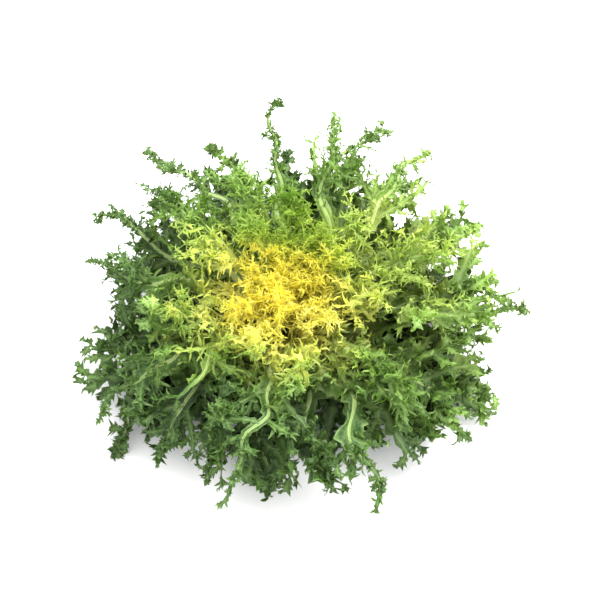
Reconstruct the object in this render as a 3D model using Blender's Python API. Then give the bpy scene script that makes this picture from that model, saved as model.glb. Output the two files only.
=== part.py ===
"""A curly endive head: one short cut stem with its leaves set round it in a spiral, oldest and
lowest outside, youngest and upright in the heart. Each leaf is one solid, and none touches another.

Every leaf lies in a shell of its own, and the shells nest like bowls. A shell is a surface of
revolution about the stem, and the leaf is a lobed blade laid on it. The whole bunch is then bent
by one smooth warp, which moves neighbours alike and so keeps them apart.
Metres, +Z up, the origin at the centre of the stem's cut face.
"""

import math
import random

import bmesh
import bpy
import numpy as np

# The spiral
LEAVES = 59
SPIRAL_STEP = 137.508  # degrees from one leaf to the next younger one
SPIRAL_START = 204.0
AZIMUTH_JITTER = 3.0
SEED = 5

# The cut stem
STEM_FOOT = 0.0035  # bare stem below the lowest leaf
STEM_TOP = 0.0332
STEM_TIP_RADIUS = 0.0022
STEM_CHAMFER = 0.0012
STEM_SEGMENTS = 32
STEM_GAP = 0.0005  # between the stem and the undersides of the leaf bases

# Leaf properties by age, from the oldest (0) to the youngest (1)
AGES = (0.0, 0.25, 0.5, 0.75, 1.0)
BASE_RADIUS = (0.0175, 0.0142, 0.0112, 0.0080, 0.0048)
BASE_HEIGHT = (0.0065, 0.0140, 0.0215, 0.0290, 0.0365)
BASE_HALF_WIDTH = (0.0062, 0.0052, 0.0041, 0.0028, 0.0016)
RIB_THICKNESS = (0.0030, 0.0027, 0.0023, 0.0016, 0.0011)
LENGTH = (0.120, 0.124, 0.116, 0.070, 0.044)
BLADE_HALF_WIDTH = (0.027, 0.026, 0.023, 0.017, 0.008)
LOBES = (7, 7, 6, 5, 4)

# The rise of a leaf's rib above the horizontal, in degrees, at four distances from its base
RIB_STATIONS = (0.0, 0.070, 0.140, 0.200)
RIB_RISE = (
    (35.0, -2.0, -29.0, -36.0),
    (52.0, 13.0, -28.0, -42.0),
    (66.0, 31.0, -8.0, -26.0),
    (80.0, 57.0, 28.0, 8.0),
    (88.0, 93.0, 98.0, 102.0),
)
RIB_STEPS = 400
LONGEST = 0.180

# The leaves that reach past the rest: place in the spiral, azimuth of the tip in degrees, length
LONG_LEAVES = {
    0: (-142, 0.151),
    1: (-23, 0.135),
    3: (-100, 0.117),
    8: (-132, 0.130),
    9: (8, 0.131),
    11: (-82, 0.130),
    13: (-165, 0.131),
    14: (-38, 0.148),
    16: (-115, 0.141),
    17: (24, 0.144),
    18: (155, 0.151),
    19: (-72, 0.162),
    20: (62, 0.159),
    21: (-144, 0.162),
    22: (-6, 0.170),
    23: (132, 0.147),
    24: (-108, 0.165),
    25: (46, 0.159),
    26: (176, 0.150),
    28: (92, 0.154),
    33: (71, 0.145),
}

# The blade
PETIOLE = 0.20  # share of the length that is bare stalk
PETIOLE_TAPER = 0.35  # share of its width that the stalk loses
WIDEST = 0.58  # share of the length at which the blade is widest
SINUS_DEPTH = 0.55  # how far a gap between lobes cuts in
LOBE_SWEEP = 0.35  # how far a lobe's tip leans forward, in lobe spacings
MOST_HALF_ANGLE = 21.0  # a leaf's half width seen from the stem's axis, in degrees
LEAST_HALF_WIDTH = 0.0012
EDGE_RUFFLE = 0.0007
TIP_THICKNESS = 0.0007
MOST_SWING = 9.0  # degrees that an ordinary leaf's tip swings round the stem

# The bend of the whole bunch
STIFF_REACH = 0.035  # nothing bends this near the foot of the stem
LOOSE_REACH = 0.110
FRONT_SAG = 0.16  # share of their height that the leaves towards -Y lose
RIM_WAVE = 0.07
SWAY = 0.0042
SWAY_RATE = 39.0
SIDE_LEAN = 0.12

# The rings of leaves: the first age in the ring, its name and its colour
RINGS = (
    (0.00, "outer_leaf", (0.10, 0.23, 0.03)),
    (0.23, "middle_leaf", (0.20, 0.38, 0.05)),
    (0.46, "inner_leaf", (0.42, 0.55, 0.07)),
    (0.70, "heart_leaf", (0.80, 0.66, 0.08)),
)
STEM_COLOUR = (0.78, 0.74, 0.50)
LEAF_ROUGHNESS = 0.5
STEM_ROUGHNESS = 0.55


def by_age(values, age):
    return float(np.interp(age, AGES, values))


def smooth_step(x):
    t = np.clip(x, 0.0, 1.0)
    return t * t * (3.0 - 2.0 * t)


def warp(points):
    """The bend of the whole bunch: nothing at the stem, more towards the leaf tips."""
    x, y, z = points.T
    reach = np.sqrt(x * x + y * y + z * z)
    loose = smooth_step((reach - STIFF_REACH) / (LOOSE_REACH - STIFF_REACH))
    front = smooth_step((0.05 - y) / 0.16)
    z = z * (1.0 - FRONT_SAG * loose * front)
    z = z * (1.0 + RIM_WAVE * loose * np.sin(3.0 * np.arctan2(y, x) + 0.8))
    x = x + loose * (SWAY * np.sin(SWAY_RATE * y + 0.6) - SIDE_LEAN * z)
    y = y + loose * SWAY * np.sin(SWAY_RATE * x + 1.1)
    return np.stack([x, y, z], axis=1)


class Shell:
    """The surface of revolution that a leaf of one age lies in, as the curve that is turned."""

    def __init__(self, age):
        self.along = np.linspace(0.0, LONGEST, RIB_STEPS + 1)
        rise_at_stations = [by_age(column, age) for column in zip(*RIB_RISE)]
        self.rise = np.radians(np.interp(self.along, RIB_STATIONS, rise_at_stations))
        middle = (self.rise[1:] + self.rise[:-1]) / 2
        step = LONGEST / RIB_STEPS
        outward = np.concatenate([[0.0], np.cumsum(np.cos(middle) * step)])
        upward = np.concatenate([[0.0], np.cumsum(np.sin(middle) * step)])
        self.radius = by_age(BASE_RADIUS, age) + outward
        self.height = by_age(BASE_HEIGHT, age) + upward

    def radius_at(self, distance):
        return float(np.interp(distance, self.along, self.radius))

    def point(self, distance, azimuth, off):
        """The point at a distance along the curve, turned round the stem, and off the shell."""
        rise = np.interp(distance, self.along, self.rise)
        r = self.radius_at(distance) - math.sin(rise) * off
        z = float(np.interp(distance, self.along, self.height)) + math.cos(rise) * off
        return (r * math.cos(azimuth), r * math.sin(azimuth), z)


class Leaf:
    """The settings of one leaf, worked out from its place in the spiral."""

    def __init__(self, index, chance):
        self.age = index / (LEAVES - 1)
        self.azimuth = SPIRAL_START + SPIRAL_STEP * index
        self.azimuth += chance.uniform(-AZIMUTH_JITTER, AZIMUTH_JITTER)
        self.length = by_age(LENGTH, self.age) * chance.uniform(0.90, 1.10)
        self.half_width = by_age(BLADE_HALF_WIDTH, self.age) * chance.uniform(0.85, 1.1)
        self.swing = chance.uniform(-MOST_SWING, MOST_SWING)
        self.lobes = round(by_age(LOBES, self.age))
        if index in LONG_LEAVES:
            tip_azimuth, self.length = LONG_LEAVES[index]
            self.swing = (tip_azimuth - self.azimuth + 180.0) % 360.0 - 180.0

    def azimuth_at(self, share):
        return math.radians(self.azimuth + self.swing * share * share)

    def outline(self, share):
        """Half width at a share of the length, with the lobes and the gaps between left out."""
        base = by_age(BASE_HALF_WIDTH, self.age)
        if share < PETIOLE:
            return base * (1.0 - PETIOLE_TAPER * share / PETIOLE)
        stalk_end = base * (1.0 - PETIOLE_TAPER)
        if share < WIDEST:
            opened = (share - PETIOLE) / (WIDEST - PETIOLE)
            return stalk_end + (self.half_width - stalk_end) * math.sin(opened * math.pi / 2) ** 1.5
        closing = (share - WIDEST) / (1.0 - WIDEST)
        return self.half_width * (1.0 - closing**2.2) ** 0.8

    def thickness(self, share):
        thickest = by_age(RIB_THICKNESS, self.age)
        return TIP_THICKNESS + (thickest - TIP_THICKNESS) * (1.0 - share) ** 1.3


def leaf_points(leaf):
    """Four points at each station: left edge, top of the rib, right edge, underside."""
    shell = Shell(leaf.age)
    blade = np.linspace(PETIOLE, 1.0, 2 * leaf.lobes + 2)
    spacing = blade[1] - blade[0]
    points = []
    for station, share in enumerate([0.0, *blade]):
        on_blade = 0 < station <= len(blade)
        is_lobe = on_blade and station % 2 == 0 and station < len(blade)
        is_gap = station > 1 and not is_lobe
        half_width = leaf.outline(share) * (1.0 - SINUS_DEPTH * is_gap)
        edge_share = min(share + LOBE_SWEEP * spacing * is_lobe, 1.0)
        rib = share * leaf.length
        edge = edge_share * leaf.length
        half_angle = max(half_width, LEAST_HALF_WIDTH) / shell.radius_at(edge)
        half_angle = min(half_angle, math.radians(MOST_HALF_ANGLE))
        ruffle = (EDGE_RUFFLE if station % 4 < 2 else -EDGE_RUFFLE) * (station > 1)
        half_thick = leaf.thickness(share) / 2
        points.append(shell.point(edge, leaf.azimuth_at(edge_share) + half_angle, ruffle))
        points.append(shell.point(rib, leaf.azimuth_at(share), half_thick))
        points.append(shell.point(edge, leaf.azimuth_at(edge_share) - half_angle, -ruffle))
        points.append(shell.point(rib, leaf.azimuth_at(share), -half_thick))
    return warp(np.array(points))


def tube_faces(rings, sides):
    """Faces of a closed tube whose points come ring by ring."""
    faces = [tuple(reversed(range(sides))), tuple(range((rings - 1) * sides, rings * sides))]
    for ring in range(rings - 1):
        for side in range(sides):
            low = ring * sides + side
            beside = ring * sides + (side + 1) % sides
            faces.append((low, beside, beside + sides, low + sides))
    return faces


def add_solid(name, points, faces, material):
    """An object whose solid has these faces, triangulated and facing outward."""
    mesh = bpy.data.meshes.new(name)
    mesh.from_pydata([tuple(p) for p in points], [], faces)
    edit = bmesh.new()
    edit.from_mesh(mesh)
    bmesh.ops.triangulate(edit, faces=edit.faces)
    bmesh.ops.recalc_face_normals(edit, faces=edit.faces)
    edit.to_mesh(mesh)
    edit.free()
    mesh.materials.append(material)
    bpy.context.scene.collection.objects.link(bpy.data.objects.new(name, mesh))


def new_material(name, colour, roughness):
    material = bpy.data.materials.new(name)
    material.use_nodes = True
    shader = material.node_tree.nodes["Principled BSDF"]
    shader.inputs["Base Color"].default_value = (*colour, 1.0)
    shader.inputs["Roughness"].default_value = roughness
    shader.inputs["Metallic"].default_value = 0.0
    return material


def add_stem():
    """The short stem, turned about Z: a flat cut face, a chamfer, and a cone inside the leaves."""
    def beside_leaf(age):
        underside = 0.55 * by_age(RIB_THICKNESS, age)  # a little over half, as the ribs lean out
        return by_age(BASE_RADIUS, age) - underside - STEM_GAP

    foot = beside_leaf(0.0)
    profile = [(foot - STEM_CHAMFER, 0.0), (foot, STEM_CHAMFER), (foot, STEM_FOOT)]
    profile += [(beside_leaf(age), by_age(BASE_HEIGHT, age)) for age in AGES[:-1]]
    profile.append((STEM_TIP_RADIUS, STEM_TOP))
    turns = np.arange(STEM_SEGMENTS) * 2 * math.pi / STEM_SEGMENTS
    points = [(r * math.cos(turn), r * math.sin(turn), z) for r, z in profile for turn in turns]
    material = new_material("stem", STEM_COLOUR, STEM_ROUGHNESS)
    add_solid("cut_stem", points, tube_faces(len(profile), STEM_SEGMENTS), material)


def add_leaves():
    chance = random.Random(SEED)
    materials = {name: new_material(name, colour, LEAF_ROUGHNESS) for _, name, colour in RINGS}
    made = dict.fromkeys(materials, 0)
    for index in range(LEAVES):
        leaf = Leaf(index, chance)
        ring = [name for first_age, name, _ in RINGS if leaf.age >= first_age][-1]
        made[ring] += 1
        points = leaf_points(leaf)
        faces = tube_faces(len(points) // 4, 4)
        add_solid(f"{ring}_{made[ring]:02d}", points, faces, materials[ring])


def main():
    for old in list(bpy.data.objects):
        bpy.data.objects.remove(old)
    add_stem()
    add_leaves()


main()
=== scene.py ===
"""The looks of a curly endive head.

Every leaf follows the rib of its own CAD leaf. The rib carries a ruffled blade, arms and lobes, an
arm carries lobes of its own, and every lobe carries narrow segments. All have toothed edges, and
curl and twist. Each is a ribbon: a chain of stations with a centre, three axes and two half widths,
closed into a thin solid. Units are metres and radians, unless a comment says otherwise.
"""

import math
from collections import namedtuple

import bpy
import numpy as np
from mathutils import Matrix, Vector


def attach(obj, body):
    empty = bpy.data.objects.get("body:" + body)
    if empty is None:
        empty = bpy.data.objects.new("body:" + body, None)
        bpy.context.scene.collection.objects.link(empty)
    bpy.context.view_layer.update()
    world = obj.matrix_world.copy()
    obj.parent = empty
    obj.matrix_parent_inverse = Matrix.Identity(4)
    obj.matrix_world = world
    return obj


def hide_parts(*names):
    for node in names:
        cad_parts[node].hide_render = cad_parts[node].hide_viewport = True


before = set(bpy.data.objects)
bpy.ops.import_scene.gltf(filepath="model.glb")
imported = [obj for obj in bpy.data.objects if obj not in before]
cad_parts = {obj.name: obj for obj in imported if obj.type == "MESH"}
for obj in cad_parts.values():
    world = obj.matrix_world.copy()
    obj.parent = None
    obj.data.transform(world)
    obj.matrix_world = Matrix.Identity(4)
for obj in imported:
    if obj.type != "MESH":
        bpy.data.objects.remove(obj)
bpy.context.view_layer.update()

FULL_TURN = 2.0 * math.pi
SPIRAL_TURN = math.radians(137.508)  # from one leaf to the next younger one
SHARP_ANGLE = math.radians(70.0)
NO_LENGTH = 1e-12

FLOOR_CLEARANCE = 0.0004  # lowest that any tissue comes to the floor
CROWN_HEIGHT = 0.104  # above this the curls are pressed down
CROWN_SHARE = 0.5  # what is left of their rise past it

# What a leaf is like by its age, from the oldest (0) to the youngest (1)
AGES = (0.0, 0.25, 0.5, 0.75, 1.0)
TRAITS = {
    "bare": (0.34, 0.28, 0.24, 0.34, 0.42),  # share of the length that is stalk
    "rib_half_width": (0.0038, 0.0031, 0.0023, 0.0015, 0.0009),
    "rib_tip_width": (0.0008, 0.0008, 0.0007, 0.0005, 0.0004),
    "rib_thick": (0.0034, 0.0031, 0.0025, 0.0016, 0.0010),
    "meander": (0.0050, 0.0055, 0.0050, 0.0030, 0.0015),
    "rib_roll": (0.5, 0.6, 0.6, 0.5, 0.4),
    "blade_half_width": (0.0190, 0.0110, 0.0034, 0.0024, 0.0020),
    "stalk_wing": (0.0060, 0.0052, 0.0040, 0.0024, 0.0008),
    "blade_thick": (0.0007, 0.0007, 0.0006, 0.0005, 0.0004),
    "arms": (4.0, 4.0, 3.0, 2.0, 1.0),  # on each side
    "arm_length": (0.062, 0.056, 0.044, 0.030, 0.020),
    "arm_half_width": (0.0075, 0.0045, 0.0019, 0.0010, 0.0006),
    "arm_lobe_spacing": (0.0105, 0.0080, 0.0060, 0.0054, 0.0054),
    "lobe_pairs": (10.0, 12.0, 15.0, 19.0, 20.0),
    "lobe_length": (0.028, 0.026, 0.023, 0.018, 0.014),
    "lobe_half_width": (0.0058, 0.0038, 0.0017, 0.0009, 0.0006),
    "segment_length": (0.0108, 0.0104, 0.0118, 0.0098, 0.0066),
    "segment_half_width": (0.0021, 0.0013, 0.0008, 0.0006, 0.00045),
    "segment_spacing": (0.0070, 0.0056, 0.0040, 0.0032, 0.0026),
}
RIB_STATIONS = 56

# How one kind of side piece grows. Yaw, pitch and roll: a spread over the whole length, and one a
# station. Thick and thinning: at the base, and lost by the tip, against the blade. Teeth, ruffle:
# depth and height against the half width. Waves: radians of ruffle over the length. Lean: how far
# the edges lean to the tip. Rank: 0 for the rib, up to 2 for the narrowest.
Kind = namedtuple("Kind", "stations yaw pitch roll thick thinning teeth ruffle waves lean rank")
ARM = Kind(12, (0.35, 0.05), (0.7, 0.06), (0.8, 0.08), 2.0, 1.2, 0.35, 0.4, 14.0, 0.5, 0.5)
LOBE = Kind(9, (0.45, 0.06), (1.5, 0.14), (1.2, 0.16), 1.5, 0.9, 0.36, 0.35, 7.0, 0.7, 1.0)
SEGMENT = Kind(4, (0.8, 0.15), (1.5, 0.20), (0.9, 0.18), 1.1, 0.6, 0.20, 0.0, 0.0, 0.3, 2.0)

# The angle from the parent: degrees at its base, degrees less at its tip, and a spread
RIB_LOBE_ANGLE = (72.0, 34.0, 0.16)
ARM_ANGLE = (58.0, 16.0, 0.12)
ARM_LOBE_ANGLE = (66.0, 30.0, 0.18)
SEGMENT_ANGLE = (64.0, 34.0, 0.20)

# Rows of side pieces: the first and last place, the jitter, and the least and greatest place.
# The row of lobes on a rib starts at the end of its bare stalk.
RIB_LOBE_ROW = (0.985, 0.02, 0.05, 0.995)
ARM_LOBE_ROW = (0.20, 0.98, 0.05, 0.05, 0.995)
SEGMENT_ROW = (0.22, 0.97, 0.06, 0.10, 0.99)

# The arms of one side: where they leave the leafy part of the rib, their lengths against the
# longest, and how far they rise
ARM_PLACES = (0.06, 0.32, 0.60, 0.86)
ARM_SIZES = (1.0, 0.88, 0.72, 0.50)
ARM_LIFTS = (-0.40, -0.15, 0.10, 0.25)

# Past the edge of the mass a leaf is only a narrow toothed ribbon
MASS_MIDDLE = (0.0, -0.017)
MASS_HALF = (0.110, 0.093)
RIBBON_SHARE = 1.18  # of the mass's own size

# The room inside the head in which no lobe can be seen
CORE_MIDDLE = (0.0, -0.003, 0.0)
CORE_HALF = (0.062, 0.056, 0.058)

# Where the leaves part and one looks deep into the head: a place on the floor and a radius
POCKETS = (
    (-0.067, -0.080, 0.016), (0.016, -0.084, 0.017), (-0.028, -0.104, 0.013),
    (0.052, -0.096, 0.012), (-0.052, 0.072, 0.011), (-0.094, 0.016, 0.011),
)
POCKET_FLOOR = 0.030  # the lowest leaves pass under them
POCKET_BLADE = 0.3  # of its width is left to a blade in a pocket

# Where the leaves stand open and show their stalks, and from which side, tip height and ages on,
# each with the width of the change
OPEN_SIDE = (-0.34, 0.94)
SHOWN_SIDE = (0.25, 0.4)
SHOWN_HEIGHT = (0.030, 0.02)
SHOWN_OLDEST, SHOWN_YOUNGEST, SHOWN_AGES = 0.18, 0.80, 0.1
# What a leaf that does has more or less of: bare stalk, width and thickness of rib, width of blade
SHOWN_BARE, SHOWN_WIDTH, SHOWN_THICK, SHOWN_BLADE = 0.24, 0.35, 0.2, 0.5


class Traits:
    """The traits of a leaf of one age, each under its own name."""

    def __init__(self, age):
        self.age = age
        for name, values in TRAITS.items():
            setattr(self, name, float(np.interp(age, AGES, values)))


def smooth_step(x):
    t = np.clip(x, 0.0, 1.0)
    return t * t * (3.0 - 2.0 * t)


def rise(x, start, width):
    """0 up to the start, 1 from a width past it on, and smooth between."""
    return smooth_step((x - start) / width)


def unit(v):
    return v / np.maximum(np.linalg.norm(v, axis=-1, keepdims=True), NO_LENGTH)


def open_air(points):
    """0 inside the mass, 1 where a leaf is out on its own."""
    share = np.linalg.norm((points[..., :2] - MASS_MIDDLE) / MASS_HALF, axis=-1)
    return rise(share, 1.0, RIBBON_SHARE - 1.0)


def shut_in(points):
    """Whether nothing can be seen of what grows here, under the leaves of the crown."""
    return np.linalg.norm((points - CORE_MIDDLE) / CORE_HALF, axis=-1) < 1.0


def in_pocket(points):
    """Whether points are in one of the gaps between the leaves."""
    found = np.zeros(points.shape[:-1], bool)
    for x, y, radius in POCKETS:
        found |= np.hypot(points[..., 0] - x, points[..., 1] - y) < radius
    return found & (points[..., 2] > POCKET_FLOOR)


# ---- the rib of a CAD leaf

BASE_DEPTH = 0.004  # of the end nearest the stem
FIT_ROUNDS = 24
FIRST_ROUND, LAST_ROUND = 0.06, 0.97  # of the reach of the leaf
FIT_DEGREE = 5
FINE_POINTS = 200


def mesh_points(mesh):
    points = np.zeros(len(mesh.vertices) * 3)
    mesh.vertices.foreach_get("co", points)
    return points.reshape(-1, 3)


def rib_line(node):
    """Points along the middle of a CAD leaf, from its base to its tip, and its length."""
    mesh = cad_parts[node].data
    points = mesh_points(mesh)
    edges = np.zeros(len(mesh.edges) * 2, int)
    mesh.edges.foreach_get("vertices", edges)
    a, b = edges.reshape(-1, 2).T

    from_stem = np.linalg.norm(points, axis=1)
    base = points[from_stem < from_stem.min() + BASE_DEPTH].mean(0)
    reach = np.linalg.norm(points - base, axis=1)
    rounds = np.linspace(FIRST_ROUND, LAST_ROUND, FIT_ROUNDS) * reach.max()
    centres = [base]
    for radius in rounds:
        crossing = (reach[a] - radius) * (reach[b] - radius) < 0
        start, end = a[crossing], b[crossing]
        share = ((radius - reach[start]) / (reach[end] - reach[start]))[:, None]
        cut = points[start] * (1 - share) + points[end] * share
        apart = np.linalg.norm(cut[:, None] - cut[None], axis=2)
        i, j = np.unravel_index(apart.argmax(), apart.shape)
        centres.append((cut[i] + cut[j]) / 2)
    centres.append(points[reach.argmax()])
    at = np.concatenate([[0.0], rounds / reach.max(), [1.0]])
    fit = [np.polyfit(at, column, FIT_DEGREE) for column in np.array(centres).T]
    fine = np.linspace(0.0, 1.0, FINE_POINTS)
    curve = np.stack([np.polyval(f, fine) for f in fit], axis=1)
    steps = np.linalg.norm(np.diff(curve, axis=0), axis=1)
    gone = np.concatenate([[0.0], np.cumsum(steps)])
    even = np.linspace(0.0, gone[-1], RIB_STATIONS)
    return np.stack([np.interp(even, gone, column) for column in curve.T], axis=1), gone[-1]


# ---- ribbons

class Ribbons:
    """Many ribbons with the same number of stations. Arrays run over ribbon, then station."""

    def __init__(self, centre, ahead, aside, up):
        self.centre = centre
        self.ahead = ahead
        self.aside = aside
        self.up = up
        self.stations = centre.shape[1]

    def only(self, chosen):
        rows = (self.centre, self.ahead, self.aside, self.up)
        return Ribbons(*[values[chosen] for values in rows])

    def at(self, which, share):
        """Centre and axes at a share of the length of the chosen ribbons."""
        axes = [unit(self.value_at(v, which, share)) for v in (self.ahead, self.aside, self.up)]
        return self.value_at(self.centre, which, share), *axes

    def value_at(self, values, which, share):
        place = share * (self.stations - 1)
        low = np.minimum(place.astype(int), self.stations - 2)
        part = (place - low).reshape((-1,) + (1,) * (values.ndim - 2))
        return values[which, low] * (1 - part) + values[which, low + 1] * part


def turn(a, b, angle):
    """Both axes turned in their own plane, a towards b."""
    c, s = np.cos(angle)[:, None], np.sin(angle)[:, None]
    return a * c + b * s, b * c - a * s


def grow(start, ahead, aside, up, length, yaw, pitch, roll):
    """Ribbons grown station by station. The turns are in radians a step."""
    steps = yaw.shape[1]
    centre = start
    rows = [(centre, ahead, aside, up)]
    stride = (length / steps)[:, None]
    for step in range(steps):
        ahead, aside = turn(ahead, aside, yaw[:, step])
        ahead, up = turn(ahead, up, pitch[:, step])
        aside, up = turn(aside, up, roll[:, step])
        centre = centre + ahead * stride
        rows.append((centre, ahead, aside, up))
    return Ribbons(*[np.stack(column, axis=1) for column in zip(*rows)])


def branch(parent, core, which, at, side, angle, lift, length, yaw, pitch, roll):
    """Ribbons that leave their parents at a share of the length, to one side, forward and up."""
    centre, ahead, aside, up = parent.at(which, at)
    sideways = aside * side[:, None]
    out, new_up = turn(sideways, up, lift)
    new_ahead = turn(ahead, out, angle)[0]
    start = centre + sideways * parent.value_at(core, which, at)[:, None]
    return grow(start, new_ahead, np.cross(new_up, new_ahead), new_up, length, yaw, pitch, roll)


# ---- meshes

# The corners round a ribbon: share of the half width aside (+ left, - right), share of the
# thickness up, and how far the corner is from the middle line
SECTIONS = {
    "rib": ((1.0, 0.05, 0.4), (0.5, 0.42, 0.0), (0.0, 0.20, 0.15), (-0.5, 0.42, 0.0),
            (-1.0, 0.05, 0.4), (-0.42, -0.45, 0.3), (0.0, -0.62, 0.0), (0.42, -0.45, 0.3)),
    "blade": ((1.0, 0.0, 1.0), (0.5, 0.5, 0.6), (0.0, 0.5, 0.2), (-0.5, 0.5, 0.6),
              (-1.0, 0.0, 1.0), (-0.5, -0.5, 0.6), (0.0, -0.5, 0.2), (0.5, -0.5, 0.6)),
    "lobe": ((1.0, 0.15, 1.0), (0.45, 0.62, 0.5), (0.0, 0.25, 0.0), (-0.45, 0.62, 0.5),
             (-1.0, 0.15, 1.0), (0.0, -0.75, 0.2)),
    "strip": ((1.0, 0.0, 1.0), (0.0, 0.5, 0.0), (-1.0, 0.0, 1.0), (0.0, -0.5, 0.3)),
    "segment": ((1.0, 0.2, 1.0), (-1.0, 0.2, 1.0), (0.0, -0.6, 0.4)),
}
MARKS = ("across", "along", "rank", "tint")
# The map of a piece has a band for each batch, and in it a cell for each ribbon
SMALLEST_BAND = 0.03
CELL_MARGIN = 0.0015
# The grid of the canopy, and its steps, by cells to each side: gaps are closed over, all smoothed
CANOPY_CELL = 0.0025
CANOPY_HALF = 0.2
CANOPY_STEPS = ((np.max, 5), (np.min, 3), (np.mean, 2))


class Batch:
    """Ribbons with one section, as corners, faces and marks."""

    def __init__(self, ribbons, section, left, right, thick, along, rank, tint,
                 ruffle=None, lean=0.0, edge=1.0):
        aside, raised, off_middle = np.array(SECTIONS[section]).T
        on_left = aside > 0
        out = np.abs(aside)
        half = np.where(on_left, left[:, :, None], right[:, :, None]) * aside
        height = thick[:, :, None] * raised
        if ruffle is not None:
            waves = np.where(on_left, ruffle[0][:, :, None], ruffle[1][:, :, None])
            height = height + waves * out**2
        forward = lean * np.abs(half) * out
        corners = (
            ribbons.centre[:, :, None]
            + ribbons.aside[:, :, None] * half[..., None]
            + ribbons.up[:, :, None] * height[..., None]
            + ribbons.ahead[:, :, None] * forward[..., None]
        )
        upright = raised * np.sign(ribbons.up[:, :, None, 2])
        lowest = FLOOR_CLEARANCE + thick[:, :, None] * (upright - upright.min(2, keepdims=True))
        height = corners[..., 2]
        height = np.minimum(height, CROWN_HEIGHT + CROWN_SHARE * (height - CROWN_HEIGHT))
        corners[..., 2] = np.maximum(height, lowest)
        self.count, self.stations, self.sides = corners.shape[:3]
        self.corners = corners.reshape(-1, 3)
        spread = np.ones(corners.shape[:3])
        self.marks = np.stack([
            (spread * off_middle * np.reshape(edge, (-1, 1))).ravel(),
            (spread * along[:, :, None]).ravel(),
            (spread * rank).ravel(),
            (spread * tint[:, None, None]).ravel(),
        ], axis=1)
        steps = np.linalg.norm(np.diff(ribbons.centre, axis=1), axis=2)
        self.length = steps.sum(1).mean()
        self.girth = 2.0 * (left + right).mean()

    def faces(self, first):
        """Quads along the ribbons and one cap at each end, with corners numbered from first."""
        number = np.arange(len(self.corners)).reshape(self.count, self.stations, self.sides) + first
        after = np.roll(number, -1, axis=2)
        quads = np.stack([number[:, :-1], after[:, :-1], after[:, 1:], number[:, 1:]], axis=-1)
        return quads.reshape(-1, 4), np.concatenate([number[:, 0, ::-1], number[:, -1]])

    def maps(self, low, high):
        """Where the same faces lie on the map, in the band between the heights low and high."""
        across = self.count * self.girth / ((high - low) * self.length)
        columns = max(1, round(math.sqrt(across)))
        rows = math.ceil(self.count / columns)
        cell = np.arange(self.count)
        width, height = 1.0 / columns, (high - low) / rows
        corner = np.stack([(cell % columns) * width, low + (cell // columns) * height], axis=1)
        u = np.linspace(0.0, 1.0, self.stations)
        v = np.linspace(0.0, 1.0, self.sides + 1)
        place = np.stack(np.meshgrid(u, v, indexing="ij"), axis=-1)
        inner = np.array([width, height]) - 2 * CELL_MARGIN
        place = corner[:, None, None] + CELL_MARGIN + place[None] * inner
        quads = np.stack([
            place[:, :-1, :-1], place[:, :-1, 1:], place[:, 1:, 1:], place[:, 1:, :-1],
        ], axis=3)
        caps = np.concatenate([place[:, 0, :-1][:, ::-1], place[:, -1, :-1]])
        return quads.reshape(-1, 2), caps.reshape(-1, 2)


class Canopy:
    """The top of the whole head over a grid on the floor, drawn over its gaps, for the painted
    shade.
    """

    def __init__(self, corners):
        cells = round(2 * CANOPY_HALF / CANOPY_CELL) + 1
        column = np.clip(np.rint(self.grid_place(corners)).astype(int), 0, cells - 1)
        self.top = np.zeros((cells, cells))
        np.maximum.at(self.top, (column[:, 0], column[:, 1]), corners[:, 2])
        for gather, reach in CANOPY_STEPS:
            steps = range(-reach, reach + 1)
            near = [np.roll(self.top, (i, j), axis=(0, 1)) for i in steps for j in steps]
            self.top = gather(near, axis=0)

    def grid_place(self, corners):
        return (corners[:, :2] + CANOPY_HALF) / CANOPY_CELL

    def depth(self, corners):
        """How far corners are below the top of the head."""
        place = self.grid_place(corners)
        low = np.clip(place.astype(int), 0, len(self.top) - 2)
        part = place - low
        i, j = low.T
        a, b = part.T
        near = self.top[i, j] * (1 - b) + self.top[i, j + 1] * b
        far = self.top[i + 1, j] * (1 - b) + self.top[i + 1, j + 1] * b
        return np.maximum(near * (1 - a) + far * a - corners[:, 2], 0.0)


def show(name, data):
    """A new object in the scene."""
    thing = bpy.data.objects.new(name, data)
    bpy.context.scene.collection.objects.link(thing)
    return thing


def make_piece(name, batches, age, canopy, material):
    """One object of all the batches. The band of each on the map goes by its share of the skin."""
    skin = np.array([b.count * b.length * b.girth for b in batches])
    bands = np.maximum(skin / skin.sum(), SMALLEST_BAND)
    edges = np.concatenate([[0.0], np.cumsum(bands / bands.sum())])
    loops, sizes, maps = [], [], []
    first = 0
    for batch, low, high in zip(batches, edges[:-1], edges[1:]):
        for faces, places in zip(batch.faces(first), batch.maps(low, high)):
            loops.append(faces.ravel())
            sizes.append(np.full(len(faces), faces.shape[1]))
            maps.append(places)
        first += len(batch.corners)
    loops, sizes = np.concatenate(loops), np.concatenate(sizes)
    mesh = bpy.data.meshes.new(name)
    mesh.vertices.add(first)
    corners = np.concatenate([b.corners for b in batches])
    mesh.vertices.foreach_set("co", corners.ravel())
    mesh.loops.add(len(loops))
    mesh.loops.foreach_set("vertex_index", loops)
    mesh.polygons.add(len(sizes))
    mesh.polygons.foreach_set("loop_start", np.concatenate([[0], np.cumsum(sizes)[:-1]]))
    mesh.polygons.foreach_set("loop_total", sizes)
    mesh.update(calc_edges=True)
    layer = mesh.uv_layers.new(name="OFBake", do_init=False)
    layer.uv.foreach_set("vector", np.concatenate(maps).astype(np.float32).ravel())
    marks = np.concatenate([b.marks for b in batches])
    # The depth under the canopy sets the painted shade
    columns = [*marks.T, np.full(first, age), canopy.depth(corners)]
    for mark, values in zip(MARKS + ("age", "depth"), columns):
        mesh.attributes.new(mark, "FLOAT", "POINT").data.foreach_set("value", values)
    mesh.shade_smooth()
    mesh.set_sharp_from_angle(angle=SHARP_ANGLE)
    mesh.materials.append(material)
    return show(name, mesh)


# ---- one leaf

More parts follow.
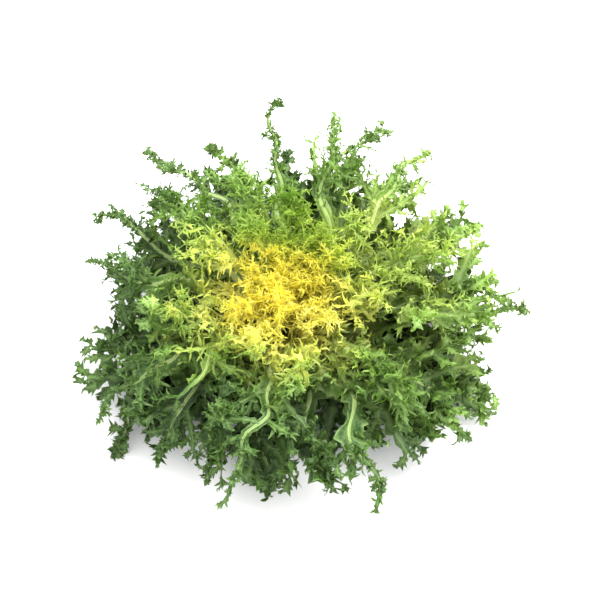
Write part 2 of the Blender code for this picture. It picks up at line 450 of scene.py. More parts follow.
# UNEVEN is a range of random factors. A PART has its start and the width of the change. LOST is
# what the open air takes. Of the half width, ROOT is where side pieces start, and SLIM what the
# shortest keep. GREEN is how much further along than its root a piece ends, in colour.
TWO_SIDES = np.array([1.0, -1.0])
UNEVEN_TEETH = (0.7, 1.3)

# The rib: its bends start past the stalk and are less at the tip. SWAY and BOB are a second wave on
# the bends aside and up: its rate and size against the first.
MEANDER_PITCH = 0.085  # of rib to one bend
UNEVEN_BENDS = (0.8, 1.5)
LOOSE_PART, TIP_HELD = (0.12, 0.35), 0.75
SWAY, BOB, BOB_SIZE = (1.9, 0.5), (2.1, 0.4), 0.6
ROLL_RATE = 0.6
RIB_TAPER, RIB_THINNING, RIB_JAG = 1.2, 0.8, 0.12

# The blade on the rib, and the wing of its stalk
LEAFY_PART, WING_PART = (0.10, 0.30), (-0.05, 0.1)
BLADE_TAPER, BLADE_LOST = 0.6, 0.85
BLADE_TEETH, LEAFY_TEETH, OPEN_TEETH = 0.05, 0.17, 0.25
BLADE_RUFFLE, BLADE_LEAN = 0.5, 0.25
RUFFLE_PITCH, UNEVEN_RUFFLES = 0.020, (0.8, 1.3)

# Lobes on the rib: the first and the last are short, and their lift goes up and down along it
FIRST_LOBE, FULL_LOBES_AFTER = 0.35, 0.3
LAST_LOBES, LAST_LOBES_LOST = (0.8, 0.2), 0.35
LOBES_LOST, LIFT_LOST, CURL_LOST = 0.87, 0.6, 0.5
UNEVEN_LOBES = (0.65, 1.2)
LIFT_MEAN, LIFT_SWING, LIFT_SPREAD = 0.25, 0.7, 0.4
LIFT_RATE, LIFT_APART = 34.0, 1.3
LOBE_SWEEP, LOBE_ROOT = 0.25, 0.55

# The outline of a lobe: half width at the base, gained by the broad part, and lost to the tip
LOBE_OUTLINE = (0.45, 0.75, 1.12)
LOBE_BROADENS, LOBE_NARROWS = (0.0, 0.45), (0.55, 0.45)
LOBE_TIP, LOBE_SLIM, LOBE_GREEN = 0.06, 0.4, 0.2

# The fringe of a rib that is out on its own
FRINGE_SPACING, FRINGE_JITTER = 0.0028, 0.012
FRINGE_ENDS, FRINGE_LIMIT = (0.3, 0.985), 0.995
FRINGE_AIR = 0.3
FRINGE_REACH, UNEVEN_FRINGE = 0.42, (0.5, 1.3)

# Arms, and the lobes on them
ARM_JITTER, ARM_LIFT_SPREAD = 0.05, 0.2
ARM_AIR, ARMS_LOST = 1.12, 0.85
UNEVEN_ARMS = (0.8, 1.15)
ARM_SWEEP, ARM_DROOP = 0.45, 0.25
ARM_ROOT, ARM_SLIM, ARM_TAPER, ARM_GREEN = 0.4, 0.2, 0.6, 0.3
LEAST_PAIRS = 2
ARM_LOBE_SIZE, UNEVEN_ARM_LOBES = 0.8, (0.6, 1.15)
ARM_LOBE_TAPER, SHORT_ARM_LOBES = 0.35, 0.4
ARM_LOBE_LIFT, ARM_LOBE_ROOT = (0.2, 0.6), 0.5

# Segments
UNEVEN_SEGMENTS = (0.5, 1.25)
SEGMENT_TAPER, SHORT_LOBE_SEGMENTS = 0.35, 0.2
OWN_TINT = 0.5
SEGMENT_ROOT, SEGMENT_LIFT_SPREAD = 0.3, 0.6
SEGMENT_OUTLINE = (0.8, 1.0, 0.85, 0.08)
# SEGMENT_EDGE is the edge mark kept at a segment's base, so its painted edge highlight is brightest
# at the tip
SEGMENT_SLIM, SEGMENT_GREEN, SEGMENT_EDGE = 0.5, 0.08, 0.75


def kept(share, value):
    """From the share at 0 to all at 1."""
    return share + (1.0 - share) * value


def shares(count):
    return np.linspace(0.0, 1.0, count)


def teeth(chance, outline, count, depth):
    """Half widths along each ribbon: its outline with a tooth at every other station."""
    tooth = np.where(np.arange(len(outline)) % 2 == 1, 1.0 + depth, 1.0 - depth)
    return outline * tooth * chance.uniform(*UNEVEN_TEETH, (count, len(outline)))


def wander(chance, count, steps, total, wobble):
    """Turns a step that add up to about total, one way or the other, with some wobble."""
    sums = chance.normal(0.0, 1.0, count) * total
    return sums[:, None] / steps + chance.normal(0.0, wobble, (count, steps))


def two_waves(share, rates, phases, rate, size):
    """A slow wave, and a second one on it."""
    second = np.sin(rate * rates[1] * share + phases[1])
    return np.sin(rates[0] * share + phases[0]) + size * second


def leaving(chance, at, base, closing, spread):
    """The angles at which side pieces leave their parents."""
    return np.radians(base - closing * at) + chance.normal(0.0, spread, len(at))


def in_pairs(chance, pairs, first, last, jitter, low, high):
    """Pairs of side pieces: the number of the parent, the share of its length, and the side."""
    parent = np.repeat(np.arange(len(pairs)), 2 * pairs)
    at = np.concatenate([np.repeat(np.linspace(first, last, n), 2) for n in pairs])
    at = np.clip(at + chance.uniform(-jitter, jitter, len(at)), low, high)
    return parent, at, np.concatenate([np.tile(TWO_SIDES, n) for n in pairs])


class Leaf:
    """One leaf, gathered batch by batch from the rib outwards."""

    def __init__(self, node, age, seed):
        self.traits = Traits(age)
        self.chance = np.random.default_rng(seed)
        self.batches = []
        centre, length = rib_line(node)
        self.share = shares(RIB_STATIONS)
        traits = self.traits
        shown = self.showing(centre[-1])
        traits.bare += SHOWN_BARE * shown
        traits.rib_half_width *= 1.0 + SHOWN_WIDTH * shown
        traits.rib_thick *= 1.0 + SHOWN_THICK * shown
        traits.blade_half_width *= 1.0 - SHOWN_BLADE * shown
        self.rib = self.loose_rib(centre, length)
        spread = traits.rib_half_width - traits.rib_tip_width
        self.core = (traits.rib_tip_width + spread * (1.0 - self.share) ** RIB_TAPER)[None]
        self.add_rib()
        self.add_blade(length)
        self.add_rib_lobes()
        self.add_fringe(length)
        self.add_arms()

    def showing(self, tip):
        """How far this leaf shows its stalk: the raised leaves at the back of the head do."""
        toward = float(np.dot(tip[:2], OPEN_SIDE) / np.hypot(*tip[:2]))
        age = self.traits.age
        young = smooth_step((SHOWN_YOUNGEST - age) / SHOWN_AGES)
        between = rise(age, SHOWN_OLDEST, SHOWN_AGES) * young
        return float(rise(toward, *SHOWN_SIDE) * rise(tip[2], *SHOWN_HEIGHT) * between)

    def turns(self, kind, count):
        """Yaw, pitch and roll a step."""
        spreads = (kind.yaw, kind.pitch, kind.roll)
        return [wander(self.chance, count, kind.stations - 1, *spread) for spread in spreads]

    def edges(self, kind, outline, size):
        """The toothed half widths to the left and right, and the thickness."""
        left, right = [
            teeth(self.chance, outline, len(size), kind.teeth) * size[:, None] for _ in TWO_SIDES
        ]
        share = shares(kind.stations)
        thick = self.traits.blade_thick * (kind.thick - kind.thinning * share)
        return left, right, np.repeat(thick[None], len(size), axis=0)

    def ruffles(self, kind, left, right):
        phases = self.chance.uniform(0.0, FULL_TURN, (2, len(left), 1))
        share = shares(kind.stations)
        return kind.ruffle * np.stack([left, right]) * np.sin(phases + kind.waves * share)

    def loose_rib(self, centre, length):
        """The rib with its own slow bends and roll, which start past the stalk."""
        traits, chance, share = self.traits, self.chance, self.share
        ahead = unit(np.gradient(centre, axis=0))
        round_stem = np.stack([-centre[:, 1], centre[:, 0], 0.0 * centre[:, 0]], axis=1)
        up = unit(np.cross(ahead, unit(round_stem)))
        aside = np.cross(up, ahead)
        loose = rise(share, *LOOSE_PART) * (1.0 - TIP_HELD * share**4)
        phases = chance.uniform(0.0, FULL_TURN, 4)
        rates = chance.uniform(*UNEVEN_BENDS, 4) * FULL_TURN * length / MEANDER_PITCH
        sway = two_waves(share, rates[:2], phases[:2], *SWAY)
        bob = two_waves(share, rates[2:], phases[2:], *BOB)
        bend = (traits.meander * loose)[:, None]
        centre = centre + aside * bend * sway[:, None] + up * BOB_SIZE * bend * bob[:, None]
        ahead = unit(np.gradient(centre, axis=0))
        aside = unit(aside - ahead * (aside * ahead).sum(1, keepdims=True))
        up = np.cross(ahead, aside)
        twist = traits.rib_roll * loose * np.sin(ROLL_RATE * rates[1] * share + phases[3])
        aside, up = turn(aside, up, twist)
        return Ribbons(centre[None], ahead[None], aside[None], up[None])

    def add_rib(self):
        thick = self.traits.rib_thick * (1.0 - RIB_THINNING * self.share)
        jag = 1.0 + RIB_JAG * self.chance.uniform(-1.0, 1.0, (2, RIB_STATIONS))
        self.batches.append(Batch(
            self.rib, "rib", self.core * jag[:1], self.core * jag[1:], thick[None],
            self.share[None], 0.0, self.chance.uniform(size=1),
        ))

    def add_blade(self, length):
        """The ruffled blade along both sides of the rib, with a toothed edge."""
        traits, chance, share = self.traits, self.chance, self.share
        out = open_air(self.rib.centre[0])
        leafy = rise(share, *LEAFY_PART)
        wide = traits.stalk_wing * (1.0 - leafy) * rise(share, *WING_PART)
        tapered = traits.blade_half_width * leafy * (1.0 - BLADE_TAPER * share**3)
        wide = wide + tapered * (1.0 - BLADE_LOST * out)
        sideways = TWO_SIDES[:, None, None] * self.rib.aside[0]
        middle = self.rib.centre[0] + sideways * wide[:, None] / 2
        wide = wide * np.where(in_pocket(middle), POCKET_BLADE, 1.0)
        depth = BLADE_TEETH + LEAFY_TEETH * leafy + OPEN_TEETH * out
        edges = self.core + wide * teeth(chance, np.ones(RIB_STATIONS), 2, depth)
        phases = chance.uniform(0.0, FULL_TURN, (2, 1))
        pitch = RUFFLE_PITCH * chance.uniform(*UNEVEN_RUFFLES, (2, 1))
        ruffle = BLADE_RUFFLE * wide * np.sin(FULL_TURN * length * share / pitch + phases)
        thick = np.full((1, RIB_STATIONS), traits.blade_thick)
        self.batches.append(Batch(
            self.rib, "blade", edges[:1], edges[1:], thick, share[None], 1.0,
            chance.uniform(size=1), ruffle=(ruffle[:1], ruffle[1:]), lean=BLADE_LEAN,
        ))

    def add_rib_lobes(self):
        traits, chance = self.traits, self.chance
        pairs = np.array([round(traits.lobe_pairs)])
        which, at, side = in_pairs(chance, pairs, traits.bare, *RIB_LOBE_ROW)
        out = open_air(self.rib.at(which, at)[0])
        envelope = kept(FIRST_LOBE, rise(at, traits.bare, FULL_LOBES_AFTER))
        envelope = envelope * (1.0 - LAST_LOBES_LOST * rise(at, *LAST_LOBES))
        length = traits.lobe_length * envelope * chance.uniform(*UNEVEN_LOBES, len(at))
        length = length * (1.0 - LOBES_LOST * out)
        angle = leaving(chance, at, *RIB_LOBE_ANGLE)
        wave = np.sin(LIFT_RATE * at + LIFT_APART * side + chance.uniform(0.0, FULL_TURN))
        lift = LIFT_MEAN + LIFT_SWING * wave + chance.normal(0.0, LIFT_SPREAD, len(at))
        lift = lift * (1.0 - LIFT_LOST * out)
        self.add_lobes(self.rib, self.core * LOBE_ROOT, self.share[None], which, at, side,
                       length, angle, lift, 1.0 - CURL_LOST * out, "lobe")

    def add_fringe(self, length):
        """Short segments on the rib itself where it is out on its own."""
        pairs = round(length / FRINGE_SPACING)
        at = np.repeat(np.linspace(*FRINGE_ENDS, pairs), 2)
        side = np.tile(TWO_SIDES, pairs)
        alone = open_air(self.rib.at(np.zeros(2 * pairs, int), at)[0]) > FRINGE_AIR
        at, side = at[alone], side[alone]
        count = len(at)
        if count == 0:
            return
        at = at + self.chance.uniform(-FRINGE_JITTER, FRINGE_JITTER, count)
        at = np.clip(at, 0.0, FRINGE_LIMIT)
        longest = FRINGE_REACH * self.traits.segment_length
        reach = longest * self.chance.uniform(*UNEVEN_FRINGE, count)
        self.add_segments(self.rib, self.core, self.share[None], np.zeros(count, int), at, side,
                          reach, self.chance.uniform(size=count))

    def add_arms(self):
        """Long side branches, which fill the room between one leaf and the next."""
        traits, chance = self.traits, self.chance
        per_side = round(traits.arms)
        count = 2 * per_side
        at = traits.bare + (1.0 - traits.bare) * np.repeat(ARM_PLACES[-per_side:], 2)
        at = at + chance.uniform(-ARM_JITTER, ARM_JITTER, count)
        side = np.tile(TWO_SIDES, per_side)
        which = np.zeros(count, int)
        out = open_air(self.rib.at(which, at)[0] * ARM_AIR)
        length = traits.arm_length * np.repeat(ARM_SIZES[-per_side:], 2)
        length = length * chance.uniform(*UNEVEN_ARMS, count) * (1.0 - ARMS_LOST * out)
        angle = leaving(chance, at, *ARM_ANGLE)
        lift = np.repeat(ARM_LIFTS[-per_side:], 2) + chance.normal(0.0, ARM_LIFT_SPREAD, count)
        steps = ARM.stations - 1
        yaw, pitch, roll = self.turns(ARM, count)
        yaw = yaw - side[:, None] * ARM_SWEEP / steps
        pitch = pitch - ARM_DROOP / steps
        arms = branch(self.rib, self.core * ARM_ROOT, which, at, side, angle, lift, length,
                      yaw, pitch, roll)
        clear = ~in_pocket(arms.centre[:, ARM.stations // 2])
        arms = arms.only(clear)
        at, length = at[clear], length[clear]
        count = len(at)
        if count == 0:
            return
        share = shares(ARM.stations)
        full = length / traits.arm_length
        size = traits.arm_half_width * kept(ARM_SLIM, full)
        left, right, thick = self.edges(ARM, 1.0 - ARM_TAPER * share**2, size)
        along = np.clip(at[:, None] + ARM_GREEN * share, 0.0, 1.0)
        ruffle = self.ruffles(ARM, left, right)
        self.batches.append(Batch(arms, "lobe", left, right, thick, along, ARM.rank,
                                  chance.uniform(size=count), ruffle=ruffle, lean=ARM.lean))

        pairs = np.round(length / traits.arm_lobe_spacing).astype(int)
        parent, place, lobe_side = in_pairs(chance, np.maximum(LEAST_PAIRS, pairs), *ARM_LOBE_ROW)
        lobe_length = traits.lobe_length * ARM_LOBE_SIZE
        lobe_length = lobe_length * chance.uniform(*UNEVEN_ARM_LOBES, len(place))
        lobe_length = lobe_length * (1.0 - ARM_LOBE_TAPER * place)
        lobe_length = lobe_length * kept(SHORT_ARM_LOBES, full[parent])
        lobe_angle = leaving(chance, place, *ARM_LOBE_ANGLE)
        lobe_lift = chance.normal(*ARM_LOBE_LIFT, len(place))
        self.add_lobes(arms, left * ARM_LOBE_ROOT, along, parent, place, lobe_side, lobe_length,
                       lobe_angle, lobe_lift, np.ones(len(place)), "strip")

    def add_lobes(self, parent, core, parent_along, which, at, side, length, angle, lift, freedom,
                  section):
        """Lobes on a rib or an arm, and the segments along both of their sides."""
        traits, chance = self.traits, self.chance
        seen = ~shut_in(parent.at(which, at)[0])
        which, at, side, length, angle, lift, freedom = (
            values[seen] for values in (which, at, side, length, angle, lift, freedom)
        )
        yaw, pitch, roll = self.turns(LOBE, len(at))
        yaw = yaw - side[:, None] * LOBE_SWEEP / (LOBE.stations - 1)
        pitch, roll = pitch * freedom[:, None], roll * freedom[:, None]
        lobes = branch(parent, core, which, at, side, angle, lift, length, yaw, pitch, roll)
        clear = ~in_pocket(lobes.centre[:, LOBE.stations // 2])
        lobes = lobes.only(clear)
        which, at, length = which[clear], at[clear], length[clear]
        share = shares(LOBE.stations)
        base, gained, lost = LOBE_OUTLINE
        outline = base + gained * rise(share, *LOBE_BROADENS) - lost * rise(share, *LOBE_NARROWS)
        full = length / traits.lobe_length
        size = traits.lobe_half_width * kept(LOBE_SLIM, full)
        left, right, thick = self.edges(LOBE, np.maximum(outline, LOBE_TIP), size)
        ruffle = self.ruffles(LOBE, left, right)
        start = parent.value_at(parent_along, which * (len(parent_along) > 1), at)
        along = np.clip(start[:, None] + LOBE_GREEN * share, 0.0, 1.0)
        tint = chance.uniform(size=len(at))
        self.batches.append(Batch(lobes, section, left, right, thick, along, LOBE.rank, tint,
                                  ruffle=ruffle, lean=LOBE.lean))

        pairs = np.maximum(1, np.round(length / traits.segment_spacing)).astype(int)
        lobe, place, turned = in_pairs(chance, pairs, *SEGMENT_ROW)
        reach = traits.segment_length * chance.uniform(*UNEVEN_SEGMENTS, len(place))
        reach = reach * (1.0 - SEGMENT_TAPER * place)
        reach = reach * kept(SHORT_LOBE_SEGMENTS, np.minimum(full, 1.0)[lobe])
        tint = OWN_TINT * chance.uniform(size=len(place)) + (1.0 - OWN_TINT) * tint[lobe]
        self.add_segments(lobes, left * SEGMENT_ROOT, along, lobe, place, turned, reach, tint)

    def add_segments(self, parent, core, parent_along, which, place, side, reach, tint):
        """The last and narrowest pieces of a leaf."""
        traits, chance = self.traits, self.chance
        count = len(place)
        angle = leaving(chance, place, *SEGMENT_ANGLE)
        lift = chance.normal(0.0, SEGMENT_LIFT_SPREAD, count)
        segments = branch(parent, core, which, place, side, angle, lift, reach,
                          *self.turns(SEGMENT, count))
        size = traits.segment_half_width * (
            SEGMENT_SLIM + (1.0 - SEGMENT_SLIM) * reach / traits.segment_length)
        left, right, thick = self.edges(SEGMENT, np.array(SEGMENT_OUTLINE), size)
        share = shares(SEGMENT.stations)
        along = parent.value_at(parent_along, which, place)[:, None] + SEGMENT_GREEN * share
        self.batches.append(Batch(
            segments, "segment", left, right, thick, np.clip(along, 0.0, 1.0), SEGMENT.rank, tint,
            lean=SEGMENT.lean, edge=kept(SEGMENT_EDGE, share),
        ))


# ---- materials

# How far tissue is from the heart sets its colour, in sizes of the heart
HEART_CENTRE = (-0.014, -0.021, 0.080)
HEART_STRETCH = (1.0 / 0.038, 1.0 / 0.0275, 1.0 / 0.065)
MOST_AWAY = 3.4  # where the colours stop changing
FIRST_GREEN = 1.2
PAINTED_LIGHT_SIDE = (9.5, 10.5, 0.0)  # painted light: the greens are painted paler towards this side, in sizes a metre
# Painted light: the tips of older leaves are shifted towards the paler colours nearer the heart
AGE_SHIFT, TIP_PAINTED_LIGHT = -0.25, 0.9
TIP_PART = (0.55, 2.0)  # start and slope, as in the other parts here

BLADE_COLOURS = (
    (0.00, (0.94, 0.865, 0.15)), (0.21, (0.90, 0.84, 0.13)),
    (0.33, (0.50, 0.61, 0.075)), (0.52, (0.22, 0.38, 0.038)),
    (0.72, (0.115, 0.245, 0.026)), (1.00, (0.028, 0.085, 0.012)),
)
PALE_COLOURS = (
    (0.00, (0.96, 0.86, 0.26)), (0.30, (0.82, 0.86, 0.32)),
    (0.60, (0.50, 0.68, 0.21)), (1.00, (0.27, 0.43, 0.12)),
)
THROUGH_COLOURS = ((0.20, (0.94, 0.91, 0.14)), (0.45, (0.60, 0.84, 0.09)))
THROUGH_SHARE = 0.40
RIB_COLOUR = (0.74, 0.86, 0.34)
RIB_PALE, VEIN_PALE = 0.4, 0.35
MOTTLE = ((0.25, (0.82, 0.82, 0.82)), (0.75, (1.0, 1.0, 1.0)))
MOTTLE_SHARE = 0.6

# What is pale: from the middle outwards, less of it a rank, at the edges as a painted highlight,
# and on the stalk
MIDDLE_SLOPE, MIDDLE_RANK = 1.6, 0.35
EDGE_HIGHLIGHT_PART = (0.76, 3.2)
STALK_SLOPE, RIB_RANK = 3.0, 2.0
VEIN_NET, VEIN_SLOPE = 260.0, 9.0

# Painted shade: tissue deep under the canopy is painted darker, but less so in the heart, at tips
# and on ribs
PAINTED_SHADE_PART = (0.006, 1.0 / 0.020)
PAINTED_SHADE_TINT = (0.11, 0.15, 0.15)
PAINTED_SHADE_AGE, PAINTED_SHADE_TIP, PAINTED_SHADE_RIB = 1.3, 0.7, 0.3

RELIEF_DEPTH = 0.0005

SKIN_COLOURS = (
    (0.00, (0.62, 0.50, 0.26)), (0.15, (0.78, 0.72, 0.46)),
    (0.60, (0.84, 0.82, 0.58)), (1.00, (0.80, 0.84, 0.45)),
)
SKIN_RISE = 30.0  # of the colours, a metre
STREAK_STRETCH = (900.0, 900.0, 60.0)
CUT_COLOURS = (
    (0.00, (0.74, 0.68, 0.44)), (0.50, (0.70, 0.61, 0.36)),
    (0.66, (0.36, 0.22, 0.09)), (0.78, (0.60, 0.46, 0.24)),
    (1.00, (0.30, 0.17, 0.07)),
)
CUT_MARGIN = 0.0003


class Shading:
    """The node tree of one material, with a short call for each kind of node."""

    def __init__(self, name):
        self.material = bpy.data.materials.new(name)
        self.material.use_nodes = True
        self.tree = self.material.node_tree
        self.tree.nodes.clear()

    def add(self, kind, inputs=(), **settings):
        """A new node. Its inputs are given by name or number, with a value or another's output."""
        node = self.tree.nodes.new(kind)
        for name, value in settings.items():
            setattr(node, name, value)
        for name, value in dict(inputs).items():
            socket = node.inputs[name]
            if isinstance(value, bpy.types.NodeSocket):
                self.tree.links.new(value, socket)
            elif isinstance(value, tuple) and socket.type == "RGBA":
                socket.default_value = (*value, 1.0)
            else:
                socket.default_value = value
        return node

    def math(self, operation, a, b, clamp=False):
        inputs = {0: a, 1: b}
        return self.add("ShaderNodeMath", inputs, operation=operation, use_clamp=clamp).outputs[0]

    def times(self, a, b):
        return self.math("MULTIPLY", a, b)

    def rest(self, value, clamp=True):
        """What a value leaves of 1."""
        return self.math("SUBTRACT", 1.0, value, clamp=clamp)

    def past(self, value, start, slope):
        """0 up to the start, then rising by the slope, up to 1."""
        return self.math("MULTIPLY", self.math("SUBTRACT", value, start), slope, clamp=True)

    def vector(self, operation, *inputs):
        node = self.add("ShaderNodeVectorMath", enumerate(inputs), operation=operation)
        number = operation in ("LENGTH", "DOT_PRODUCT")
        return node.outputs["Value" if number else "Vector"]

    def ramp(self, factor, stops):
        node = self.add("ShaderNodeValToRGB", {"Fac": factor})
        elements = node.color_ramp.elements
        while len(elements) < len(stops):
            elements.new(0.5)
        for element, (position, colour) in zip(elements, stops):
            element.position = position
            element.color = (*colour, 1.0)
        return node.outputs["Color"]

    def mix(self, factor, a, b, blend="MIX"):
        inputs = {0: factor, 6: a, 7: b}  # of a mix of colours
        return self.add("ShaderNodeMix", inputs, data_type="RGBA", blend_type=blend).outputs[2]

    def mark(self, name):
        return self.add("ShaderNodeAttribute", attribute_name=name).outputs["Fac"]

    def place(self):
        return self.add("ShaderNodeTexCoord").outputs["Object"]

    def noise(self, place, scale, detail):
        inputs = {"Vector": place, "Scale": scale, "Detail": detail}
        return self.add("ShaderNodeTexNoise", inputs).outputs["Fac"]

    def cells(self, place, scale):
        """Distance from the edges between the cells of a net."""
        inputs = {"Vector": place, "Scale": scale}
        node = self.add("ShaderNodeTexVoronoi", inputs, feature="DISTANCE_TO_EDGE")
        return node.outputs["Distance"]

    def swing(self, value, spread):
        """A value from 0 to 1 as a swing either way of half the spread."""
        return self.math("MULTIPLY", self.math("SUBTRACT", value, 0.5), spread)

    def surface(self, colour, roughness, specular, relief, height):
        """A Principled shader with fine relief."""
        inputs = {"Strength": relief, "Distance": RELIEF_DEPTH, "Height": height}
        return self.add("ShaderNodeBsdfPrincipled", {
            "Base Color": colour, "Roughness": roughness, "Specular IOR Level": specular,
            "Normal": self.add("ShaderNodeBump", inputs).outputs["Normal"],
        }).outputs[0]

    def done(self, shader):
        self.add("ShaderNodeOutputMaterial", {"Surface": shader})
        return self.material


def leaf_material(name, glow_share):
    s = Shading(name)
    place = s.place()
    across, along, rank, tint, age, depth = [s.mark(mark) for mark in MARKS + ("age", "depth")]

    # Yellow in the heart, then green, and darker outwards
    off_centre = s.vector("SUBTRACT", place, HEART_CENTRE)
    away = s.vector("LENGTH", s.vector("MULTIPLY", off_centre, HEART_STRETCH))
    away = s.math("ADD", away, s.swing(s.noise(place, scale=55.0, detail=3.0), spread=0.8))
    away = s.math("ADD", away, s.swing(tint, spread=0.45))
    away = s.math("ADD", away, s.times(age, AGE_SHIFT))
    # Painted light: the tips of older leaves are painted paler
    tip = s.times(s.past(along, *TIP_PART), s.rest(age))
    away = s.math("SUBTRACT", away, s.times(tip, TIP_PAINTED_LIGHT))
    patches = s.swing(s.noise(place, scale=30.0, detail=2.0), spread=0.9)
    away = s.math("ADD", away, s.times(away, patches))
    green = s.math("SUBTRACT", away, FIRST_GREEN, clamp=True)
    # Painted light: the greens are paler towards one side of the head
    painted_light = s.vector("DOT_PRODUCT", place, PAINTED_LIGHT_SIDE)
    away = s.math("SUBTRACT", away, s.times(green, painted_light))
    away = s.math("MULTIPLY", away, 1.0 / MOST_AWAY, clamp=True)
    blade = s.ramp(away, BLADE_COLOURS)
    pale = s.ramp(away, PALE_COLOURS)

    # Pale ribs and stalks, and a painted highlight at the edges
    middle = s.rest(s.times(across, MIDDLE_SLOPE))
    middle = s.times(middle, s.rest(s.times(rank, MIDDLE_RANK), clamp=False))
    edge = s.past(across, *EDGE_HIGHLIGHT_PART)
    stalk = s.rest(s.times(along, STALK_SLOPE))
    paleness = s.math("MAXIMUM", s.math("MAXIMUM", middle, edge), stalk)
    colour = s.mix(paleness, blade, pale)
    rib = s.rest(s.math("ADD", s.times(rank, RIB_RANK), across))
    colour = s.mix(s.times(rib, RIB_PALE), colour, RIB_COLOUR)

    # A net of paler veins, and fine mottling
    vein = s.rest(s.times(s.cells(place, VEIN_NET), VEIN_SLOPE))
    colour = s.mix(s.times(vein, VEIN_PALE), colour, pale)
    mottle = s.ramp(s.noise(place, scale=900.0, detail=2.0), MOTTLE)
    colour = s.mix(MOTTLE_SHARE, colour, mottle, "MULTIPLY")

    # Painted shade: darker under the leaves above
    painted_shade = s.times(s.past(depth, *PAINTED_SHADE_PART), s.rest(s.times(age, PAINTED_SHADE_AGE)))
    painted_shade = s.times(painted_shade, s.rest(s.times(tip, PAINTED_SHADE_TIP), clamp=False))
    painted_shade = s.times(painted_shade, s.math("ADD", PAINTED_SHADE_RIB, rank, clamp=True))
    colour = s.mix(painted_shade, colour, PAINTED_SHADE_TINT, "MULTIPLY")

    rough = s.math("ADD", 0.48, s.swing(s.noise(place, scale=300.0, detail=2.0), spread=0.25))
    height = s.math("ADD", s.noise(place, scale=650.0, detail=3.0), s.times(vein, 0.4))
    shader = s.surface(colour, rough, specular=0.32, relief=0.45, height=height)
    through = s.mix(THROUGH_SHARE, colour, s.ramp(away, THROUGH_COLOURS))
    glow = s.add("ShaderNodeBsdfTranslucent", {"Color": through}).outputs[0]
    return s.done(s.add("ShaderNodeMixShader", {0: glow_share, 1: shader, 2: glow}).outputs[0])


def stem_material():
    s = Shading("stem")
    place = s.place()
    level = s.add("ShaderNodeSeparateXYZ", {0: place}).outputs["Z"]
    streaks = s.noise(s.vector("MULTIPLY", place, STREAK_STRETCH), scale=1.0, detail=3.0)
    skin = s.math("ADD", s.times(level, SKIN_RISE), s.swing(streaks, spread=0.5))
    off_axis = s.vector("LENGTH", s.vector("MULTIPLY", place, (1.0, 1.0, 0.0)))
    out = s.times(off_axis, 1.0 / CUT_RADIUS)
    rings = s.math("ADD", out, s.swing(s.noise(place, scale=700.0, detail=4.0), spread=0.22))
    on_cut = s.math("LESS_THAN", level, CUT_HOLLOW + CUT_MARGIN)
    colour = s.mix(on_cut, s.ramp(skin, SKIN_COLOURS), s.ramp(rings, CUT_COLOURS))
    rough = s.math("ADD", 0.50, s.swing(streaks, spread=0.3))
    height = s.math("ADD", streaks, s.noise(place, scale=900.0, detail=3.0))
    return s.done(s.surface(colour, rough, specular=0.4, relief=0.5, height=height))


# ---- the stem

STEM_SIDES = 72
STEM_RINGS = 44
LEVEL_DIGITS = 5  # of a level in the CAD stem, in metres
CUT_RADIUS = 0.0080
CUT_SHARES = (0.96, 0.86, 0.70, 0.52, 0.34, 0.16)  # rings on the cut face, of its radius
CUT_HOLLOW = 0.0005  # how far the middle of the cut face has drawn in
CUT_SLOPE = 0.5  # of the radius, over which it draws in
SCARS = 26
SCAR_LEVELS = (0.12, 0.85)  # the lowest, and the room for all, of the height of the stem
SCAR_DEPTH, SCAR_HEIGHT, SCAR_WIDTH = 0.0005, 0.0007, 0.7
SCAR_ARCH, SCAR_ARCH_RATE = 0.0012, 1.5


def make_stem():
    """The cut stem, turned to its CAD outline, with leaf scars and a drawn-in cut face."""
    points = mesh_points(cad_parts["cut_stem"].data)
    levels = np.unique(points[:, 2].round(LEVEL_DIGITS))
    from_axis = np.hypot(points[:, 0], points[:, 1])
    radii = [from_axis[np.abs(points[:, 2] - z) < 10.0**-LEVEL_DIGITS].max() for z in levels]
    heights = np.linspace(levels[0], levels[-1], STEM_RINGS)
    angles = np.arange(STEM_SIDES) / STEM_SIDES * FULL_TURN
    circle = np.stack([np.cos(angles), np.sin(angles)], axis=1)
    radius = np.interp(heights, levels, radii)[:, None] * np.ones(STEM_SIDES)
    lowest, room = SCAR_LEVELS
    for scar in range(SCARS):
        level = levels[-1] * (lowest + room * scar / SCARS)
        swing = (angles - scar * SPIRAL_TURN + math.pi) % FULL_TURN - math.pi
        arch = SCAR_ARCH * np.cos(swing * SCAR_ARCH_RATE)
        drop = (heights[:, None] - level - arch) / SCAR_HEIGHT
        radius -= SCAR_DEPTH * np.exp(-drop**2 - (swing / SCAR_WIDTH) ** 4)
    rings = [np.column_stack([circle * r[:, None], np.full(STEM_SIDES, z)])
             for r, z in zip(radius, heights)]
    for share in CUT_SHARES:
        drawn_in = CUT_HOLLOW * smooth_step((1.0 - share) / CUT_SLOPE)
        flat = np.column_stack([circle * radii[0] * share, np.full(STEM_SIDES, drawn_in)])
        rings.insert(0, flat)
    corners = np.concatenate(rings)
    count = len(corners)
    number = np.arange(count).reshape(-1, STEM_SIDES)
    after = np.roll(number, -1, axis=1)
    quads = np.stack([number[:-1], after[:-1], after[1:], number[1:]], axis=-1).reshape(-1, 4)
    faces = quads.tolist()
    faces += [[count, b, a] for a, b in zip(number[0], after[0])]
    faces += [[a, b, count + 1] for a, b in zip(number[-1], after[-1])]
    ends = [(0.0, 0.0, CUT_HOLLOW), (0.0, 0.0, levels[-1])]
    mesh = bpy.data.meshes.new("cut_stem_scarred")
    mesh.from_pydata(corners.tolist() + ends, [], faces)
    mesh.shade_smooth()
    mesh.set_sharp_from_angle(angle=SHARP_ANGLE)
    mesh.materials.append(stem_material())
    stem = show("cut_stem_scarred", mesh)
    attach(stem, "root")
    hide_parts("cut_stem")


# ---- the head

RINGS = ("outer_leaf", "middle_leaf", "inner_leaf", "heart_leaf")
GLOW_SHARES = (0.28, 0.34, 0.48, 0.68)  # of the light that shines through a leaf's tissue
FIRST_SEED = 100


def ring_of(node):
    return node.rsplit("_", 1)[0]


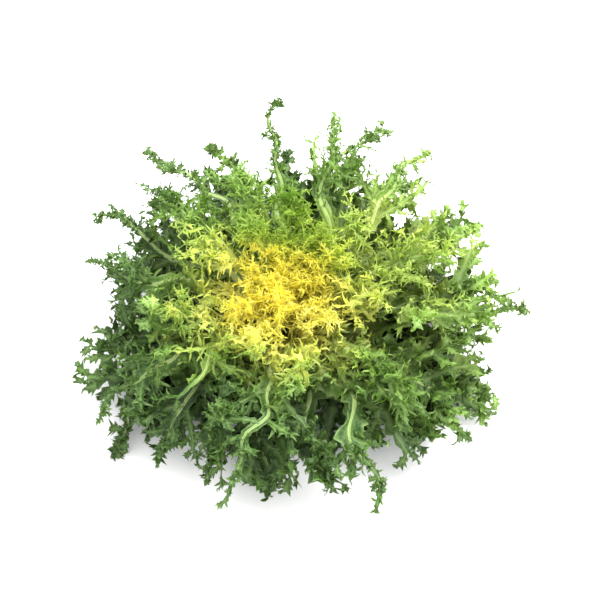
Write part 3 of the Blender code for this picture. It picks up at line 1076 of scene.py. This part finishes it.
def make_head():
    leaves = [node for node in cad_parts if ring_of(node) in RINGS]
    leaves.sort(key=lambda node: (RINGS.index(ring_of(node)), node))
    materials = {ring: leaf_material(ring, share) for ring, share in zip(RINGS, GLOW_SHARES)}
    ages = np.linspace(0.0, 1.0, len(leaves))
    seeds = range(FIRST_SEED, FIRST_SEED + len(leaves))
    grown = [Leaf(node, age, seed) for node, age, seed in zip(leaves, ages, seeds)]
    corners = [batch.corners for leaf in grown for batch in leaf.batches]
    canopy = Canopy(np.concatenate(corners))
    for node, age, leaf in zip(leaves, ages, grown):
        piece = make_piece(node + "_frilled", leaf.batches, age, canopy, materials[ring_of(node)])
        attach(piece, "root")
        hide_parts(node)


# ---- floor, light and camera

TARGET = Vector((0.0, 0.0, 0.045))
FLOOR_HALF = 3.0
FLOOR_GREY = (0.82, 0.82, 0.82)
FLOOR_ROUGHNESS = 0.8
# Round the target: azimuth and elevation in degrees, and distance
CAMERA_PLACE = (-90.0, 62.0, 1.05)
CAMERA_LENS = 93.5
KEY_PLACE = (52.0, 56.0, 1.6)
KEY_SIZE, KEY_POWER = 1.4, 58.0
FILL_PLACE = (175.0, 45.0, 2.0)
FILL_SIZE, FILL_POWER = 1.6, 6.0
STUDIO_WHITE = (1.0, 1.0, 1.0, 1.0)
STUDIO_STRENGTH = 1.85


def make_floor():
    signs = ((-1, -1), (1, -1), (1, 1), (-1, 1))
    corners = [(x * FLOOR_HALF, y * FLOOR_HALF, 0.0) for x, y in signs]
    mesh = bpy.data.meshes.new("floor")
    mesh.from_pydata(corners, [], [(0, 1, 2, 3)])
    s = Shading("floor")
    inputs = {"Base Color": FLOOR_GREY, "Roughness": FLOOR_ROUGHNESS}
    shader = s.add("ShaderNodeBsdfPrincipled", inputs).outputs[0]
    mesh.materials.append(s.done(shader))
    floor = show("floor", mesh)


def put(thing, azimuth, elevation, distance):
    """Places a light or camera round the target and turns it towards the target."""
    a, e = math.radians(azimuth), math.radians(elevation)
    away = Vector((math.cos(a) * math.cos(e), math.sin(a) * math.cos(e), math.sin(e)))
    thing.location = TARGET + distance * away
    thing.rotation_euler = (-away).to_track_quat("-Z", "Y").to_euler()


def add_area_light(name, place, size, power):
    data = bpy.data.lights.new(name, "AREA")
    data.shape = "DISK"
    data.size = size
    data.energy = power
    put(show(name, data), *place)


def make_light_and_camera():
    add_area_light("key", KEY_PLACE, KEY_SIZE, KEY_POWER)
    add_area_light("fill", FILL_PLACE, FILL_SIZE, FILL_POWER)
    world = bpy.data.worlds.new("studio")
    world.use_nodes = True
    background = world.node_tree.nodes["Background"]
    background.inputs["Color"].default_value = STUDIO_WHITE
    background.inputs["Strength"].default_value = STUDIO_STRENGTH
    scene = bpy.context.scene
    scene.world = world
    data = bpy.data.cameras.new("camera")
    data.lens = CAMERA_LENS
    camera = show("camera", data)
    put(camera, *CAMERA_PLACE)
    scene.camera = camera
    scene.view_settings.view_transform = "Standard"


make_stem()
make_head()
make_floor()
make_light_and_camera()
